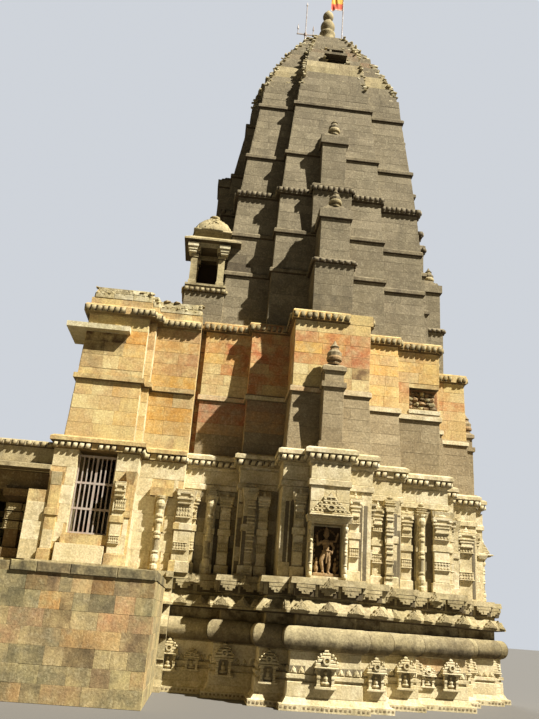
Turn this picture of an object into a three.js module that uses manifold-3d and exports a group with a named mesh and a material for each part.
// Stone temple with a stepped tower, a hall with a barred window, a pillared
// porch and a low terrace. Millimetres, +Z up, long axis of the plan along X.
// The tower stands at the +X end, the porch at the -X end; -Y is the side that
// was seen, +Y repeats it.
import * as THREE from "three";
import { mergeVertices } from "three/addons/utils/BufferGeometryUtils.js";
import Module from "manifold-3d";

const wasm = await Module();
wasm.setup();

// Dimensions.
// Distances in plan are measured from the middle of the tower.
const GAP = 0.3; // joint between neighbouring stones
const EAST = 5820; // outermost edge of the plinth towards +X
const WEST = -12600; // outer face of the terrace towards -X

// Half width and distance of each plane of the stepped plan, middle to corner.
const WALL_PLAN = [
  [440, 5340],
  [1040, 4920],
  [1990, 3940],
  [3340, 3340],
];
const CORNICE_PLAN = [
  [440, 5280],
  [1030, 4900],
  [1990, 3900],
  [3320, 3320],
];
const TIER_1_FOOT = [
  [1020, 4890],
  [1985, 3890],
  [3200, 3200],
];
const TIER_1_TOP = [
  [950, 4740],
  [1980, 3640],
  [3200, 3200],
];
const TIER_2_TOP = [
  [960, 4680],
  [1980, 3480],
  [3200, 3200],
];
// The string that ends each of the two lower tiers: its height and how far it stands out.
const TIER_1_STRING = { high: 150, out: 55 };
const TIER_2_STRING = { high: 260, out: 80 };

const PLINTH_TOP = 590;
const TORUS_TOP = 1580;
const LEDGE_TOP = 2550; // floor of the rooms and foot of the walls
const WALL_TOP = 5050;
const CORNICE_TOP = 5450;
const TIER_1_Z = 7070;
const TIER_2_Z = 9120;

// Upper tiers: top height, then [half width, distance] of the broad middle
// plane and of the corner plane, at the foot and at the top of the tier.
const UPPER_TIERS = [
  { top: 10900, foot: [[1620, 3420], [2950, 2950]], head: [[1590, 3360], [2850, 2850]] },
  { top: 12200, foot: [[1580, 3340], [2850, 2850]], head: [[1550, 3290], [2800, 2800]] },
  { top: 13670, foot: [[1540, 3260], [2790, 2790]], head: [[1500, 3130], [2710, 2710]] },
  { top: 15120, foot: [[1470, 3100], [2680, 2680]], head: [[1390, 2980], [2560, 2560]] },
  { top: 17250, foot: [[1370, 2950], [2530, 2530]], head: [[1210, 2660], [2310, 2310]] },
];
// The rounded cap: height, half width and distance of the broad middle plane,
// and half width of the corner plane.
const CAP_CURVE = [
  [17250, 1180, 2600, 2290],
  [18050, 1100, 2560, 2230],
  [18600, 1000, 2480, 2070],
  [19200, 930, 2310, 1870],
  [19800, 860, 2070, 1650],
  [20400, 780, 1740, 1410],
  [21000, 680, 1350, 1110],
  [21650, 540, 950, 820],
];
const CAP_BASE_Z = 17250;
const CAP_SHOULDER_Z = 18050;
const CAP_TOP_Z = 21650;
const CROWN_TOP_Z = 23900;

const CHAMBER = 1600; // half side of the inner chamber
const INNER_DOOR = { half: 550, top: 4500 };
const NICHE = { half: 330, foot: 2620, top: 3740, depth: 300 };

// The hall: [-X edge, distance] of each plane of its long sides, outermost first.
const HALL = {
  east: -3340,
  west: -6450,
  deep: 4150,
  shallow: 3600,
  lowerPlan: [[-6450, 4150], [-4440, 3600]],
  upperSteps: [[-4620, 3880], [-4450, 3600]],
  upperWestFoot: -6310,
  upperWestHead: -6210,
  inner: { west: -5900, upperWest: -5750, half: 3050 },
  storey: 5450,
  top: 8650,
  roof: 9120,
  door: { half: 620, top: 4600 },
};
const WINDOW = { west: -5880, east: -4960, foot: 3200, top: 5130, grilleTop: 5050 };
const TERRACE = { top: 2350, capFoot: 2160, east: -3500, half: 7400 };
const PORCH = {
  east: -6450,
  west: -12250,
  half: 3900,
  floor: 2550,
  beamFoot: 4120,
  beamTop: 4560,
  eave: 370,
  top: 5300,
  pillarsX: [-12000, -10400, -8800, -7200],
  pillarsY: [-3600, -1200, 1200, 3600],
};
const KIOSK = { x: -3400, y: 2450, half: 530, floor: 10350, eave: 11650 };

// Shape helpers.
// A closed body through a list of rings, each an array of [x, y, z] running
// anticlockwise seen from above, from the lowest ring to the highest.
function loft(rings) {
  const count = rings[0].length;
  const positions = rings.flat().flat();
  const index = [];
  for (let r = 0; r + 1 < rings.length; r += 1) {
    for (let i = 0; i < count; i += 1) {
      const j = (i + 1) % count;
      const a = r * count + i;
      const b = r * count + j;
      const c = (r + 1) * count + j;
      const d = (r + 1) * count + i;
      index.push(a, b, c, a, c, d);
    }
  }
  const capOf = (ring) => THREE.ShapeUtils.triangulateShape(
    ring.map(([x, y]) => new THREE.Vector2(x, y)),
    [],
  );
  const last = (rings.length - 1) * count;
  for (const [a, b, c] of capOf(rings[0])) {
    index.push(a, c, b);
  }
  for (const [a, b, c] of capOf(rings[rings.length - 1])) {
    index.push(last + a, last + b, last + c);
  }
  const geometry = new THREE.BufferGeometry();
  geometry.setAttribute("position", new THREE.Float32BufferAttribute(positions, 3));
  geometry.setIndex(index);
  return geometry;
}

function toSolid(geometry) {
  const bare = geometry.clone();
  bare.deleteAttribute("normal");
  bare.deleteAttribute("uv");
  const merged = mergeVertices(bare, 1e-3);
  return new wasm.Manifold(new wasm.Mesh({
    numProp: 3,
    vertProperties: new Float32Array(merged.attributes.position.array),
    triVerts: new Uint32Array(merged.index.array),
  }));
}

function toGeometry(solid) {
  const mesh = solid.getMesh();
  const geometry = new THREE.BufferGeometry();
  geometry.setAttribute(
    "position",
    new THREE.Float32BufferAttribute(Float32Array.from(mesh.vertProperties), 3),
  );
  geometry.setIndex(Array.from(mesh.triVerts));
  return geometry;
}

const join = (...solids) => wasm.Manifold.union(solids);

// Box from two corners.
function box(x0, x1, y0, y1, z0, z1) {
  const geometry = new THREE.BoxGeometry(x1 - x0, y1 - y0, z1 - z0);
  geometry.translate((x0 + x1) / 2, (y0 + y1) / 2, (z0 + z1) / 2);
  return toSolid(geometry);
}

// Outline of a four-sided symmetric stepped plan, grown outwards by `grow`.
function steppedRing(planes, grow, z) {
  const eighth = [];
  planes.forEach(([half, reach], i) => {
    eighth.push([half + grow, -(reach + grow)]);
    if (i + 1 < planes.length) {
      eighth.push([half + grow, -(planes[i + 1][1] + grow)]);
    }
  });
  const otherEighth = eighth
    .slice(0, -1)
    .reverse()
    .map(([x, y]) => [-y, -x]);
  const quarter = [...eighth, ...otherEighth];
  const ring = [];
  for (let turn = 0; turn < 4; turn += 1) {
    for (const [x, y] of quarter) {
      const c = [1, 0, -1, 0][turn];
      const s = [0, 1, 0, -1][turn];
      ring.push([x * c - y * s, x * s + y * c, z]);
    }
  }
  return ring;
}

const mixPlanes = (a, b, t) => a.map(([half, reach], i) => [
  half + (b[i][0] - half) * t,
  reach + (b[i][1] - reach) * t,
]);

// Mouldings on one plan: profile is a list of [z, grow].
const moulded = (planes, profile) => loft(
  profile.map(([z, grow]) => steppedRing(planes, grow, z)),
);

const rectRing = (x0, x1, y0, y1, z) => [
  [x0, y0, z],
  [x1, y0, z],
  [x1, y1, z],
  [x0, y1, z],
];

// A pier of rectangular plan with mouldings: profile is a list of [z, grow].
const mouldedPier = (x0, x1, y0, y1, profile) => toSolid(loft(
  profile.map(([z, grow]) => rectRing(x0 - grow, x1 + grow, y0 - grow, y1 + grow, z)),
));

// Turned body: profile is a list of [radius, z] from the foot up.
function turned(profile, x, y, sides = 16) {
  return loft(profile.map(([radius, z]) => {
    const ring = [];
    for (let i = 0; i < sides; i += 1) {
      const angle = (2 * Math.PI * (i + 0.5)) / sides;
      ring.push([x + radius * Math.cos(angle), y + radius * Math.sin(angle), z]);
    }
    return ring;
  }));
}

const quarterTurns = (solid, turns) => solid.rotate([0, 0, 90 * turns]);

const mirrorY = (solid) => solid.mirror([0, 1, 0]);

const part = new THREE.Group();
part.name = "hindu_temple";

function add(name, shape, color, roughness = 0.9, metalness = 0) {
  const geometry = shape instanceof THREE.BufferGeometry ? shape : toGeometry(shape);
  const material = new THREE.MeshStandardMaterial({ color, roughness, metalness });
  const mesh = new THREE.Mesh(geometry, material);
  mesh.name = name;
  part.add(mesh);
  return mesh;
}

const CREAM = 0xb7a783;
const GREY = 0x857b6a;
const RUST = 0xa8754a;
const PALE = 0xa89c82;
const IRON = 0x9a938c;

// Everything of the lower sanctum stops at the hall on its -X side.
const westOpen = (grow = 0) => box(-3340 - grow, 9000, -9000, 9000, -10, 9500);

// The low terrace in front of the hall.
// Outline of the hall, mirrored about Y and grown outwards by `grow`: each plane
// is [-X edge, distance], outermost first.
function hallRing(planes, grow, z) {
  const lower = [];
  planes.forEach(([edge, reach], i) => {
    if (i === 0) {
      lower.push([edge - grow, -reach - grow]);
      return;
    }
    lower.push([edge + grow, -planes[i - 1][1] - grow]);
    lower.push([edge + grow, -reach - grow]);
  });
  lower.push([HALL.east, -planes[planes.length - 1][1] - grow]);
  const upper = lower.map(([x, y]) => [x, -y]).reverse();
  return [...lower, ...upper].map(([x, y]) => [x, y, z]);
}

const HALL_BASE_GROW = 250;
const hallBaseWest = HALL.west - HALL_BASE_GROW;
const baseFootprint = (grow, z0, z1) => toSolid(loft([
  hallRing(HALL.lowerPlan, HALL_BASE_GROW + grow, z0),
  hallRing(HALL.lowerPlan, HALL_BASE_GROW + grow, z1),
]));
const terraceBlock = join(
  box(WEST, TERRACE.east, -TERRACE.half, TERRACE.half, 0, TERRACE.capFoot + 1),
  box(WEST - 20, TERRACE.east, -TERRACE.half - 20, TERRACE.half + 20, TERRACE.capFoot, TERRACE.top),
);
// Blocks missing from the top courses of the front edge.
const missingBlocks = join(
  box(-7900, -6150, -7500, -6950, TERRACE.capFoot, TERRACE.top + 10),
  box(-7500, -6600, -7500, -7000, 1900, TERRACE.capFoot + 10),
);
add(
  "terrace",
  terraceBlock.subtract(join(
    baseFootprint(GAP, -10, TERRACE.top + 10),
    missingBlocks,
    mirrorY(missingBlocks),
  )),
  0x8f7c5c,
);

// The moulded base of the sanctum, in three courses.
const plinthProfile = [
  [0, 480],
  [120, 480],
  [130, 410],
  [250, 340],
  [520, 330],
  [545, 300],
  [PLINTH_TOP, 300],
];
add(
  "sanctum_plinth",
  toSolid(moulded(WALL_PLAN, plinthProfile)).intersect(westOpen()),
  CREAM,
);

const torusProfile = [
  [PLINTH_TOP + GAP, 350],
  [660, 350],
  [670, 290],
  [1090, 290],
  [1120, 330],
  [1190, 410],
  [1350, 450],
  [1500, 410],
  [TORUS_TOP, 300],
];
add(
  "sanctum_torus_course",
  toSolid(moulded(WALL_PLAN, torusProfile)).intersect(westOpen()),
  CREAM,
);

const ledgeProfile = [
  [TORUS_TOP + GAP, 190],
  [1800, 190],
  [1830, 430],
  [1880, 430],
  [2090, 270],
  [2100, 210],
  [2160, 210],
  [2170, 290],
  [2410, 290],
  [2420, 370],
  [LEDGE_TOP, 350],
];
add(
  "sanctum_ledge_course",
  toSolid(moulded(WALL_PLAN, ledgeProfile)).intersect(westOpen()),
  CREAM,
);

// The walls of the sanctum.
// A wall pilaster on the -Y side, standing out from the plane at `reach`.
function pilaster(x0, x1, reach, out, foot, top) {
  const height = top - foot;
  return mouldedPier(x0, x1, -reach - out, -reach + 120, [
    [foot, 40],
    [foot + 240, 40],
    [foot + 260, 0],
    [foot + height * 0.5, 0],
    [foot + height * 0.5 + 10, 30],
    [foot + height * 0.58, 30],
    [foot + height * 0.58 + 10, 0],
    [top - 300, 0],
    [top, 65],
  ]);
}

const PILASTER_TOP = 4420;
function sidePilasters() {
  const half = [
    pilaster(520, 740, 4920, 130, LEDGE_TOP + GAP, PILASTER_TOP),
    pilaster(1270, 1480, 3940, 130, LEDGE_TOP + GAP, PILASTER_TOP),
    pilaster(1590, 1850, 3940, 190, LEDGE_TOP + GAP, PILASTER_TOP + 160),
    pilaster(2130, 2380, 3340, 120, LEDGE_TOP + GAP, PILASTER_TOP),
    pilaster(2520, 2720, 3340, 150, LEDGE_TOP + GAP, PILASTER_TOP),
    pilaster(2960, 3340, 3340, 110, LEDGE_TOP + GAP, PILASTER_TOP + 100),
  ];
  return join(...half, ...half.map((solid) => solid.mirror([1, 0, 0])));
}

// Stepped gable over the middle niche, with its hood slab.
function nicheHead() {
  const y0 = -5340 - 90;
  const y1 = -5340 + 100;
  return join(
    mouldedPier(-450, 450, -5340 - 60, y1, [
      [3760, 30],
      [3860, 60],
      [3900, 60],
      [3930, 0],
    ]),
    box(-350, 350, y0, y1, 3920, 4060),
    box(-250, 250, y0 + 20, y1, 4050, 4200),
    box(-140, 140, y0 + 40, y1, 4190, 4340),
  );
}

const wallPrism = toSolid(moulded(WALL_PLAN, [
  [LEDGE_TOP + GAP, 0],
  [4560, 0],
  [4580, 45],
  [4700, 45],
  [4720, 10],
  [WALL_TOP, 10],
]));
const southDress = join(sidePilasters(), nicheHead());
const hallCorner = pilaster(-3340, -3050, 3340, 380, LEDGE_TOP + GAP, PILASTER_TOP + 60);
const nicheCut = box(
  -NICHE.half,
  NICHE.half,
  -5340 - 500,
  -5340 + NICHE.depth,
  NICHE.foot,
  NICHE.top,
);
let sanctumWalls = wallPrism;
for (const turns of [0, 1, 2]) {
  sanctumWalls = sanctumWalls
    .add(quarterTurns(southDress, turns))
    .subtract(quarterTurns(nicheCut, turns));
}
sanctumWalls = sanctumWalls
  .add(join(hallCorner, mirrorY(hallCorner)))
  .intersect(westOpen())
  .subtract(box(-CHAMBER, CHAMBER, -CHAMBER, CHAMBER, 0, 6000));

const G = GAP / 2;
const southRegion = join(
  box(-9000, 9000, -9000, -CHAMBER - G, 0, 6000),
  box(-9000, -CHAMBER, -CHAMBER - 50, -INNER_DOOR.half - G, 0, 6000),
);
const southWall = sanctumWalls.intersect(southRegion);
add("sanctum_wall_south", southWall, CREAM);
add("sanctum_wall_north", sanctumWalls.intersect(mirrorY(southRegion)), CREAM);
add(
  "sanctum_wall_east",
  sanctumWalls.intersect(box(0, 9000, -CHAMBER + G, CHAMBER - G, 0, 6000)),
  CREAM,
);
add(
  "sanctum_door_lintel",
  box(
    -3340,
    -CHAMBER,
    -INNER_DOOR.half + G,
    INNER_DOOR.half - G,
    INNER_DOOR.top,
    WALL_TOP,
  ),
  CREAM,
);

const lowerCornice = [
  [WALL_TOP + GAP, 20],
  [5130, 40],
  [5150, 110],
  [5290, 110],
  [5310, 170],
  [5400, 170],
  [CORNICE_TOP, 90],
];
add(
  "sanctum_lower_cornice",
  toSolid(moulded(CORNICE_PLAN, lowerCornice)).intersect(westOpen()),
  CREAM,
);

// The tiers of the tower.
// A tier whose wall leans from one plan to the other and ends in a string.
function tierRings(foot, head, z0, z1, stringHeight, stringOut) {
  const under = z1 - stringHeight;
  return [
    steppedRing(foot, 0, z0),
    steppedRing(head, 0, under - 20),
    steppedRing(head, stringOut, under),
    steppedRing(head, stringOut, z1 - 40),
    steppedRing(head, stringOut - 30, z1),
  ];
}

// The second tier runs a little way under the hall roof on its -X side.
const TIER_2_WEST = 60;
// Facing stones that have fallen from the second tier, and a broken stretch of its string.
const fallenFacing = box(2370, 3400, -3400, -3020, 7230, 7830);
const brokenString = box(430, 1200, -4900, -4685, 8840, TIER_2_Z + 10);
add(
  "tower_tier_1",
  toSolid(loft(tierRings(
    TIER_1_FOOT,
    TIER_1_TOP,
    CORNICE_TOP + GAP,
    TIER_1_Z,
    TIER_1_STRING.high,
    TIER_1_STRING.out,
  ))).intersect(westOpen()),
  GREY,
);
add(
  "tower_tier_2",
  toSolid(loft(tierRings(
    TIER_1_TOP,
    TIER_2_TOP,
    TIER_1_Z + GAP,
    TIER_2_Z,
    TIER_2_STRING.high,
    TIER_2_STRING.out,
  ))).intersect(westOpen(-TIER_2_WEST)).subtract(join(fallenFacing, brokenString)),
  RUST,
);
let footZ = TIER_2_Z;
UPPER_TIERS.forEach(({ top, foot, head }, i) => {
  const beaded = i === 2;
  add(
    `tower_tier_${i + 3}`,
    loft(tierRings(foot, head, footZ + GAP, top, beaded ? 200 : 130, beaded ? 90 : 65)),
    GREY,
  );
  footZ = top;
});

// The rounded cap and the crown on it.
// Planes of the cap at height z, read off the curve.
function capPlanes(z) {
  const i = Math.max(1, CAP_CURVE.findIndex(([height]) => height >= z));
  const [z0, halfA, reachA, cornerA] = CAP_CURVE[i - 1];
  const [z1, halfB, reachB, cornerB] = CAP_CURVE[i];
  return mixPlanes(
    [[halfA, reachA], [cornerA, cornerA]],
    [[halfB, reachB], [cornerB, cornerB]],
    (z - z0) / (z1 - z0),
  );
}
const capRings = [
  steppedRing(capPlanes(CAP_BASE_Z), 0, CAP_BASE_Z + GAP),
  steppedRing(capPlanes(CAP_SHOULDER_Z), 0, CAP_SHOULDER_Z),
];
const CAP_STEPS = 12;
for (let i = 0; i < CAP_STEPS; i += 1) {
  const rise = (CAP_TOP_Z - CAP_SHOULDER_Z) / CAP_STEPS;
  const z0 = CAP_SHOULDER_Z + rise * i;
  const planes = capPlanes(z0 + rise * 0.8);
  capRings.push(steppedRing(planes, 20, z0 + 1));
  capRings.push(steppedRing(planes, -10, z0 + rise));
}
const capSolid = toSolid(loft(capRings));
const capNiche = join(
  box(-210, 290, -3000, -1250, 20050, 20370),
  box(-280, 440, -3000, -1800, 19300, 19600),
);
const capHood = box(-330, 430, -2340, -1500, 19610, 19700);
add(
  "tower_cap",
  capSolid
    .subtract(join(capNiche, mirrorY(capNiche)))
    .add(join(capHood, mirrorY(capHood))),
  GREY,
);

const crownProfile = [
  [440, CAP_TOP_Z + GAP],
  [450, 21830],
  [380, 21850],
  [370, 22100],
  [300, 22140],
  [250, 22480],
  [290, 22600],
  [300, 22710],
  [200, 22790],
  [250, 22920],
  [265, 23060],
  [240, 23190],
  [150, 23310],
  [120, 23360],
  [185, 23480],
  [200, 23590],
  [160, 23710],
  [80, 23790],
  [15, CROWN_TOP_Z],
];
add("tower_crown", turned(crownProfile, 0, 0, 16), PALE);

// Trident, flag pole and flag.
const rod = (r, x, y, z0, z1) => toSolid(turned([[r, z0], [r, z1]], x, y, 10));
const TRIDENT = { x: -870, y: -440, arm: 300, cross: 22130, top: 23550 };
const tridentFoot = CAP_TOP_Z + GAP;
add(
  "trident",
  join(
    rod(18, TRIDENT.x, TRIDENT.y, tridentFoot, TRIDENT.top),
    rod(34, TRIDENT.x, TRIDENT.y, tridentFoot, TRIDENT.cross + 70),
    box(
      TRIDENT.x - TRIDENT.arm,
      TRIDENT.x + TRIDENT.arm,
      TRIDENT.y - 16,
      TRIDENT.y + 16,
      TRIDENT.cross,
      TRIDENT.cross + 36,
    ),
    rod(14, TRIDENT.x - TRIDENT.arm + 14, TRIDENT.y, TRIDENT.cross + 10, TRIDENT.cross + 240),
    rod(14, TRIDENT.x + TRIDENT.arm - 14, TRIDENT.y, TRIDENT.cross + 10, TRIDENT.cross + 240),
    toSolid(turned([[70, tridentFoot], [70, tridentFoot + 60]], TRIDENT.x, TRIDENT.y, 12)),
  ),
  IRON,
  0.6,
  0.7,
);
const POLE_X = 560;
add(
  "flag_pole",
  join(
    rod(20, POLE_X, 0, tridentFoot, 24600),
    toSolid(turned([[70, tridentFoot], [70, tridentFoot + 60]], POLE_X, 0, 12)),
  ),
  IRON,
  0.6,
  0.7,
);
const poleFlat = 20 * Math.cos(Math.PI / 10); // face of the ten-sided rod
add("flag", box(POLE_X - 480, POLE_X - poleFlat - GAP, -6, 6, 23950, 24560), 0xd9641e, 0.8);

// The short buttresses and the tall ribs.
const finialProfile = (z, scale) => [
  [150, 0],
  [150, 60],
  [90, 90],
  [170, 210],
  [185, 310],
  [90, 430],
  [120, 480],
  [60, 540],
  [12, 640],
].map(([radius, height]) => [radius * scale, z + height * scale]);

const finial = (x, y, z, scale = 1) => toSolid(turned(finialProfile(z, scale), x, y, 10));

// The short buttress on the middle niche, on the -Y side.
const lowerButtress = join(
  mouldedPier(-250, 250, -5200, -4915, [
    [CORNICE_TOP + GAP, 60],
    [5620, 60],
    [5640, 0],
    [6950, -10],
    [6960, 50],
    [7090, 50],
    [7100, -20],
    [7360, -20],
    [7380, 40],
    [7480, 40],
    [7560, -60],
  ]),
  finial(0, -5060, 7555),
);
const tierGuard = toSolid(loft([
  steppedRing(TIER_1_FOOT, GAP, 5000),
  steppedRing(TIER_1_FOOT, GAP, CORNICE_TOP + GAP),
  steppedRing(TIER_1_TOP, GAP, TIER_1_Z - TIER_1_STRING.high - 20),
  steppedRing(TIER_1_TOP, TIER_1_STRING.out + GAP, TIER_1_Z - TIER_1_STRING.high),
  steppedRing(TIER_1_TOP, TIER_1_STRING.out + GAP, TIER_1_Z + GAP),
  steppedRing(TIER_1_TOP, GAP, TIER_1_Z + 2 * GAP),
  steppedRing(TIER_2_TOP, GAP, TIER_2_Z - TIER_2_STRING.high - 20),
]));
const lowerPiece = lowerButtress
  .add(box(-250, 250, -5100, -4600, CORNICE_TOP + GAP, 7480))
  .subtract(tierGuard);
["south", "east", "north"].forEach((side, turns) => {
  add(`lower_buttress_${side}`, quarterTurns(lowerPiece, turns), GREY);
});

// The tall rib in four stages up the middle of each side of the tower. `reach`
// gives the distance of each stage.
const RIB_STAGES = [
  { half: 520, foot: TIER_2_Z, top: 10820, string: 140 },
  { half: 400, foot: 10810, top: 12110, string: 0 },
  { half: 560, foot: 12100, top: 13750, string: 170 },
  { half: 360, foot: 13740, top: 15230, string: 0 },
];
const RIB_SIDES = [
  { side: "south", reach: [4400, 4280, 3450, 3360], finials: [true, true] },
  { side: "east", reach: [4200, 4150, 3550, 3200], finials: [true, false] },
  { side: "north", reach: [4400, 4280, 3450, 3360], finials: [true, true] },
  { side: "west", reach: [4050, 3950, 3470, 3400], finials: [true, false] },
];

// The slab and low pyramid that end a stage of the rib.
const ribCap = (half, reach, z) => mouldedPier(-half, half, -reach, -reach + 900, [
  [z, 0],
  [z + 20, 60],
  [z + 290, 60],
  [z + 310, -20],
  [z + 420, -60],
  [z + 430, -120],
  [z + 540, -170],
]);

function ribSolid(reach, finials) {
  const pieces = RIB_STAGES.map(({ half, foot, top, string }, i) => mouldedPier(
    -half,
    half,
    -reach[i],
    -2300,
    string === 0 ? [[foot, 0], [top, 0]] : [
      [foot, 0],
      [top - string - 10, 0],
      [top - string, 60],
      [top - 50, 60],
      [top, 10],
    ],
  ));
  [1, 3].forEach((stage, i) => {
    const { half, top } = RIB_STAGES[stage];
    pieces.push(ribCap(half, reach[stage], top - 10));
    if (finials[i]) {
      pieces.push(finial(0, -reach[stage] + 260, top + 500, 0.95));
    }
  });
  return join(...pieces);
}
let ribGuard = box(-5000, 5000, -5000, 5000, 8000, TIER_2_Z + GAP);
footZ = TIER_2_Z;
UPPER_TIERS.forEach(({ top, foot, head }, i) => {
  const beaded = i === 2;
  const stringHeight = beaded ? 200 : 130;
  const out = beaded ? 90 : 65;
  ribGuard = ribGuard.add(toSolid(loft([
    steppedRing(foot, GAP, footZ),
    steppedRing(head, GAP, top - stringHeight - 20.2),
    steppedRing(head, out + GAP, top - stringHeight - GAP),
    steppedRing(head, out + GAP, top + GAP),
  ])));
  footZ = top;
});
RIB_SIDES.forEach(({ side, reach, finials }, turns) => {
  add(`rib_${side}`, quarterTurns(ribSolid(reach, finials).subtract(ribGuard), turns), GREY);
});

// The hall.
const sanctumSide = -3340 - GAP;
const plainBase = toSolid(loft([
  hallRing(HALL.lowerPlan, HALL_BASE_GROW, 0),
  hallRing(HALL.lowerPlan, HALL_BASE_GROW, 2400),
  hallRing(HALL.lowerPlan, HALL_BASE_GROW - 50, 2410),
  hallRing(HALL.lowerPlan, HALL_BASE_GROW - 50, LEDGE_TOP),
])).intersect(box(-20000, TERRACE.east + GAP + 1, -9000, 9000, -10, 9000));
const courseProfile = [...plinthProfile, ...torusProfile, ...ledgeProfile]
  .filter(([z], i, all) => i === 0 || z - all[i - 1][0] > 1);
const mouldedStrip = toSolid(loft(
  courseProfile.map(([z, grow]) => hallRing(HALL.lowerPlan, grow, z)),
)).intersect(box(TERRACE.east + GAP, sanctumSide, -9000, 9000, -10, 9000));
add("hall_base", plainBase.add(mouldedStrip), CREAM);

// Lower and upper storey of the hall; `extra` grows the upper one.
const lowerStorey = toSolid(loft([
  [LEDGE_TOP + GAP, 0],
  [5130, 0],
  [5150, 60],
  [5290, 60],
  [5310, 130],
  [5400, 130],
  [HALL.storey, 60],
].map(([z, grow]) => hallRing(HALL.lowerPlan, grow, z))));
function upperStorey(extra) {
  const profile = [
    [HALL.storey - 1, -20],
    [6900, -30],
    [6920, 50],
    [7040, 50],
    [7060, -30],
    [HALL.top, -40],
  ];
  return toSolid(loft(profile.map(([z, grow]) => {
    const t = (z - HALL.storey) / (HALL.top - HALL.storey);
    const west = HALL.upperWestFoot + (HALL.upperWestHead - HALL.upperWestFoot) * t;
    return hallRing([[west, HALL.deep], ...HALL.upperSteps], grow + extra, z);
  })));
}
const { inner } = HALL;
const hallShell = join(lowerStorey, upperStorey(0))
  .subtract(join(
    box(inner.west, -3000, -inner.half, inner.half, 0, HALL.storey + 100),
    box(inner.upperWest, -3000, -inner.half, inner.half, HALL.storey, 12000),
  ))
  .intersect(box(-20000, sanctumSide, -9000, 9000, 0, 9500));

const windowCut = box(WINDOW.west, WINDOW.east, -6000, -3000, WINDOW.foot, WINDOW.top);
const hallFoot = LEDGE_TOP + GAP;
const hallDress = join(
  pilaster(-4890, -4640, HALL.deep, 110, hallFoot, 4440),
  pilaster(-4640, -4500, HALL.deep, 60, hallFoot, 4700),
  pilaster(-6390, -6150, HALL.deep, 60, hallFoot, 4550),
  box(-6870, -6440, -HALL.deep, -3500, hallFoot, PORCH.beamFoot - GAP),
  pilaster(-3930, -3740, HALL.shallow, 150, hallFoot, 4280),
  box(-4120, -3580, -HALL.shallow - 190, -HALL.shallow + 100, 4270, 4470),
  pilaster(-3450, -3340, HALL.shallow, 120, hallFoot, PILASTER_TOP + 60),
  box(-5960, -5120, -HALL.deep - 110, -HALL.deep + 100, 2940, 3150),
  box(-6050, -4960, -HALL.deep - 160, -HALL.deep + 100, hallFoot, 2950),
).intersect(box(-20000, sanctumSide, -9000, 9000, 0, 9500));
const hallSouthRegion = box(-9000, 0, -9000, -HALL.door.half - G, 0, 9500);
const hallSouth = hallShell.intersect(hallSouthRegion).add(hallDress).subtract(windowCut);
add("hall_wall_south", hallSouth, 0xb58a52);
add("hall_wall_north", mirrorY(hallSouth), 0xb58a52);
add(
  "hall_door_lintel",
  hallShell.intersect(box(
    -9000,
    -5000,
    -HALL.door.half + G,
    HALL.door.half - G,
    HALL.door.top,
    9500,
  )),
  0xb58a52,
);

// Roof slab with the beaded edge, and a low broken parapet on three sides.
const roofPlan = [[HALL.upperWestHead, HALL.deep], ...HALL.upperSteps];
const roofSlab = toSolid(loft([
  hallRing(roofPlan, -30, HALL.top + GAP),
  hallRing(roofPlan, -20, HALL.top + 20),
  hallRing(roofPlan, 100, HALL.top + 40),
  hallRing(roofPlan, 100, HALL.top + 220),
  hallRing(roofPlan, 60, HALL.top + 270),
  hallRing(roofPlan, -20, HALL.top + 280),
  hallRing(roofPlan, -20, HALL.roof),
])).add(box(-3500, -3210, -3000, 3000, HALL.top + GAP, HALL.roof - 10));
const parapetPlan = [[-6150, HALL.deep], ...HALL.upperSteps];
const parapet = toSolid(loft([
  hallRing(parapetPlan, -20, HALL.roof - 20),
  hallRing(parapetPlan, -40, 9280),
  hallRing(parapetPlan, -100, 9450),
])).subtract(box(-5700, 0, -3250, 3250, 9000, 9900));
const roofGuard = toSolid(loft([
  steppedRing(TIER_1_TOP, GAP, 7000),
  steppedRing(TIER_2_TOP, GAP, TIER_2_Z - TIER_2_STRING.high - 20.2),
  steppedRing(TIER_2_TOP, TIER_2_STRING.out + GAP, TIER_2_Z - TIER_2_STRING.high - GAP),
  steppedRing(TIER_2_TOP, TIER_2_STRING.out + GAP, 9600),
])).intersect(westOpen(-TIER_2_WEST + GAP));
add(
  "hall_roof",
  roofSlab.add(parapet).subtract(roofGuard).subtract(
    box(-3400, 0, -9000, 9000, HALL.roof - 19.5, 9900),
  ),
  0xa08a62,
);

// Flat hood slab over the upper wall, returned round the -X corner.
const hood = { west: -6650, east: -5080, reach: 4380, foot: 8180, top: 8310 };
const hoodSouth = join(
  box(hood.west, hood.east, -hood.reach, -4000, hood.foot, hood.top),
  box(hood.west, -6100, -4001, -3050, hood.foot, hood.top),
).subtract(upperStorey(GAP));
add("hall_hood_south", hoodSouth, PALE);
add("hall_hood_north", mirrorY(hoodSouth), PALE);

// Barred window: a frame of flat bars with upright rods.
function grille() {
  const y = -HALL.deep + 170;
  const pieces = [];
  const w = WINDOW.west + GAP;
  const e = WINDOW.east - GAP;
  const low = WINDOW.foot + GAP;
  const high = WINDOW.grilleTop;
  for (const z of [low, 3760, 4360, high - 50]) {
    pieces.push(box(w, e, y - 15, y + 15, z, z + 50));
  }
  const bars = 9;
  for (let i = 0; i < bars; i += 1) {
    const thick = i === 4 ? 26 : 14;
    const x = w + 30 + ((e - w - 60) * i) / (bars - 1);
    pieces.push(box(x - thick, x + thick, y - 12, y + 12, low, high));
  }
  return join(...pieces);
}
add("window_grille_south", grille(), IRON, 0.6, 0.7);
add("window_grille_north", mirrorY(grille()), IRON, 0.6, 0.7);

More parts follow.
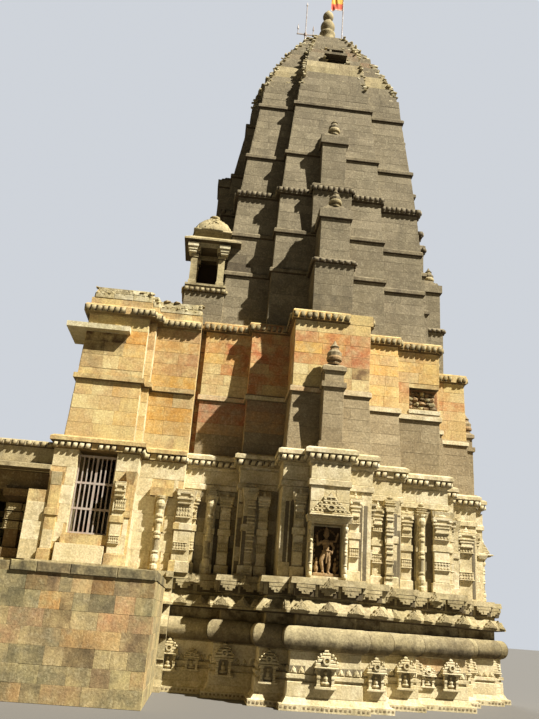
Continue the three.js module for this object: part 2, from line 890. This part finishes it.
// The porch.
add(
  "porch_floor",
  box(
    PORCH.west,
    hallBaseWest - GAP,
    -PORCH.half,
    PORCH.half,
    TERRACE.top + GAP,
    PORCH.floor,
  ),
  PALE,
);
function porchPillar(x, y) {
  const half = 170;
  return mouldedPier(x - half, x + half, y - half, y + half, [
    [PORCH.floor + GAP, 60],
    [2780, 60],
    [2800, -20],
    [3400, -20],
    [3420, 30],
    [3600, 30],
    [3620, -30],
    [3800, -30],
    [3960, 130],
    [PORCH.beamFoot + 10, 150],
  ]);
}
const porchPieces = [];
for (const x of PORCH.pillarsX) {
  porchPieces.push(box(
    x - 160,
    x + 160,
    PORCH.pillarsY[0] - 160,
    PORCH.pillarsY[3] + 160,
    PORCH.beamFoot,
    PORCH.beamTop,
  ));
  for (const y of PORCH.pillarsY) {
    porchPieces.push(porchPillar(x, y));
  }
}
for (const y of PORCH.pillarsY) {
  porchPieces.push(box(
    PORCH.pillarsX[0] - 160,
    PORCH.east - GAP,
    y - 160,
    y + 160,
    PORCH.beamFoot,
    PORCH.beamTop,
  ));
}
add("porch_colonnade", join(...porchPieces), PALE);

const porchRect = (grow, z) => rectRing(
  PORCH.west - grow,
  PORCH.east - GAP,
  -PORCH.half - grow,
  PORCH.half + grow,
  z,
);
add(
  "porch_roof",
  toSolid(loft([
    porchRect(20, PORCH.beamTop + GAP),
    porchRect(20, 4580),
    porchRect(PORCH.eave, 4590),
    porchRect(PORCH.eave, 4690),
    porchRect(40, 4760),
    porchRect(0, 4770),
    porchRect(0, 5140),
    porchRect(70, 5160),
    porchRect(70, 5270),
    porchRect(30, PORCH.top),
  ])).subtract(toSolid(loft([
    hallRing(HALL.lowerPlan, GAP, 4000),
    hallRing(HALL.lowerPlan, GAP, 5130),
    hallRing(HALL.lowerPlan, 60 + GAP, 5149),
    hallRing(HALL.lowerPlan, 60 + GAP, 5290),
    hallRing(HALL.lowerPlan, 130 + GAP, 5309),
    hallRing(HALL.lowerPlan, 130 + GAP, 6000),
  ]))),
  PALE,
);

// The kiosks on the hall roof.
const k = KIOSK.half;
const kioskFrame = join(
  mouldedPier(KIOSK.x - k, KIOSK.x + k, -KIOSK.y - k, -KIOSK.y + k, [
    [TIER_2_Z + GAP, 20],
    [10080, 20],
    [10100, 60],
    [10200, 60],
    [10210, 10],
    [10280, 10],
    [10290, 40],
    [KIOSK.floor, 40],
  ]),
  ...[-1, 1].flatMap((sx) => [-1, 1].map((sy) => {
    const px = KIOSK.x + sx * (k - 140);
    const py = -KIOSK.y + sy * (k - 140);
    return mouldedPier(px - 90, px + 90, py - 90, py + 90, [
      [KIOSK.floor - 5, 20],
      [10470, 20],
      [10490, 0],
      [11180, 0],
      [11200, 20],
      [11280, 20],
      [11300, -10],
      [11370, 50],
      [11510, 70],
    ]);
  })),
  box(KIOSK.x - k, KIOSK.x + k, -KIOSK.y - k, -KIOSK.y + k, 11500, KIOSK.eave).subtract(
    box(
      KIOSK.x - k + 260,
      KIOSK.x + k - 260,
      -KIOSK.y - k + 260,
      -KIOSK.y + k - 260,
      11400,
      11700,
    ),
  ),
);
const domeX = KIOSK.x + 50;
const eaveRing = (shrink, z) => rectRing(
  -4120 + shrink,
  -2500 - shrink,
  -KIOSK.y - 720 + shrink,
  -KIOSK.y + 720 - shrink,
  z,
);
const kioskRoof = join(
  toSolid(loft([
    eaveRing(0, KIOSK.eave + GAP),
    eaveRing(0, KIOSK.eave + 50),
    eaveRing(200, KIOSK.eave + 200),
  ])),
  mouldedPier(domeX - 500, domeX + 500, -KIOSK.y - 500, -KIOSK.y + 500, [
    [KIOSK.eave + 100, 0],
    [12030, -10],
    [12040, 30],
    [12120, 30],
    [12130, -20],
    [12260, -60],
    [12270, -110],
    [12400, -160],
    [12410, -210],
    [12540, -270],
    [12550, -310],
    [12680, -350],
    [12690, -380],
    [12820, -420],
  ]),
);
const frameSouth = kioskFrame.subtract(ribGuard);
const roofSouth = kioskRoof.subtract(ribGuard);
add("kiosk_frame_south", frameSouth, PALE);
add("kiosk_roof_south", roofSouth, PALE);
add("kiosk_frame_north", mirrorY(frameSouth), PALE);
add("kiosk_roof_north", mirrorY(roofSouth), PALE);

// The figures in the niches.
function ball(x, y, z, rx, ry, rz) {
  const geometry = new THREE.SphereGeometry(1, 8, 5);
  geometry.scale(rx, ry, rz);
  geometry.translate(x, y, z);
  return toSolid(geometry);
}
const figure = (() => {
  const y = -5340 + NICHE.depth - 90;
  const z = NICHE.foot + GAP;
  return join(
    box(-220, 220, y - 90, y + 88, z, z + 90),
    ball(-60, y - 20, z + 270, 62, 70, 210),
    ball(70, y - 20, z + 270, 62, 70, 210),
    ball(0, y - 20, z + 520, 125, 85, 110),
    ball(0, y - 20, z + 660, 100, 80, 160),
    ball(-120, y - 10, z + 620, 45, 50, 150),
    ball(130, y - 10, z + 620, 45, 50, 150),
    ball(0, y - 30, z + 870, 70, 75, 90),
    ball(0, y - 20, z + 960, 50, 55, 70),
    box(-150, 150, y + 20, y + 88, z + 60, z + 900),
  );
})();
["south", "east", "north"].forEach((side, turns) => {
  add(`niche_figure_${side}`, quarterTurns(figure, turns), 0x7b5236);
});

// Put the origin in the middle of the footprint.
const bounds = new THREE.Box3().setFromObject(part);
const shift = new THREE.Vector3(
  -(bounds.min.x + bounds.max.x) / 2,
  -(bounds.min.y + bounds.max.y) / 2,
  -bounds.min.z,
);
part.children.forEach((mesh) => {
  mesh.geometry.translate(shift.x, shift.y, shift.z);
});

export default part;
